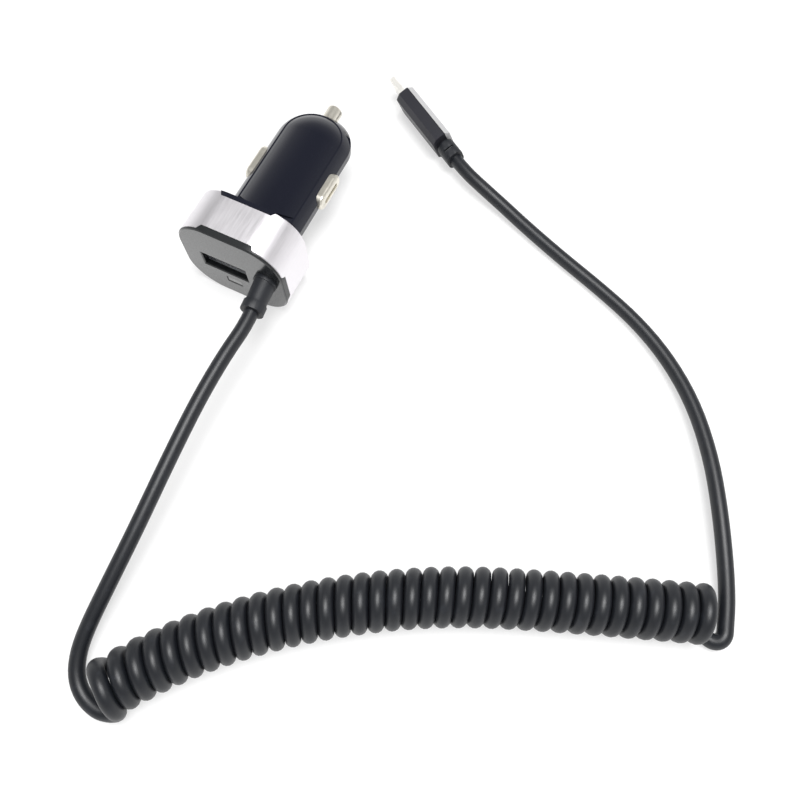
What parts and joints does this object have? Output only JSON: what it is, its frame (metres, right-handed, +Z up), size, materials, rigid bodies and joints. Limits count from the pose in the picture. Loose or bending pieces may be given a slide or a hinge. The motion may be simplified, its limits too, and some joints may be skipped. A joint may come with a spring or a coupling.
{
  "type": "car usb charger with curly cable",
  "caption": "Bullet-shaped 12 V car charger with a metal-banded head, a USB port, sprung contacts and a curly cable that ends in a small connector.",
  "frame": {"origin": "on the table, below the middle of the charger's own box (the cord and its plug left out)", "axes": "+X along the barrel towards the centre tip, +Y to the left seen from the port, +Z up"},
  "size_m": [0.1862, 0.1591, 0.0264],
  "materials": {
    "satin_aluminium": "fine brushed satin",
    "black_gloss": "high gloss",
    "black_satin": "satin",
    "black_rubber": "satin",
    "grip_black": "satin",
    "window": "smoky translucent",
    "nickel": "nickel plated",
    "brass": "plated",
    "spring_steel": "drawn wire",
    "board_green": "solder mask",
    "ferrite": "ferrite",
    "can_aluminium": "drawn can",
    "lamp": "moulded lens"
  },
  "bodies": {
    "charger": {"head_ring": "satin_aluminium", "front_cover": "black_satin", "barrel_body": "black_gloss", "top_panel": "black_gloss", "bottom_panel": "black_gloss", "usb_shell": "nickel", "usb_tongue": "black_satin", "usb_contacts": "brass", "led_window": "window", "main_board": "board_green", "status_led": "lamp", "choke": "ferrite", "input_capacitor": "can_aluminium", "output_capacitor": "can_aluminium", "converter_chip": "black_satin", "catch_diode": "black_satin", "spring_seat": "brass", "tip_spring": "spring_steel", "cable_gland": "black_rubber", "plug_collar": "black_rubber", "plug_grip": "grip_black", "plug_shell": "nickel", "plug_tongue": "black_satin", "plug_contacts": "brass", "lead_in": "black_rubber", "curly_cord": "black_rubber", "lead_out": "black_rubber"},
    "centre_tip": {"centre_tip": "nickel"},
    "side_contact_left": {"side_contact_left": "nickel"},
    "side_contact_right": {"side_contact_right": "nickel"}
  },
  "joints": [
    {"name": "tip_slide", "type": "slide", "parent": "charger", "child": "centre_tip", "axis": [-1, 0, 0], "range_m": [0, 0.003], "stiffness_N_per_m": 400, "deforming": ["tip_spring"]},
    {"name": "left_contact_slide", "type": "slide", "parent": "charger", "child": "side_contact_left", "axis": [0, -1, 0], "range_m": [0, 0.0013], "stiffness_N_per_m": 900},
    {"name": "right_contact_slide", "type": "slide", "parent": "charger", "child": "side_contact_right", "axis": [0, 1, 0], "range_m": [0, 0.0013], "stiffness_N_per_m": 900}
  ]
}
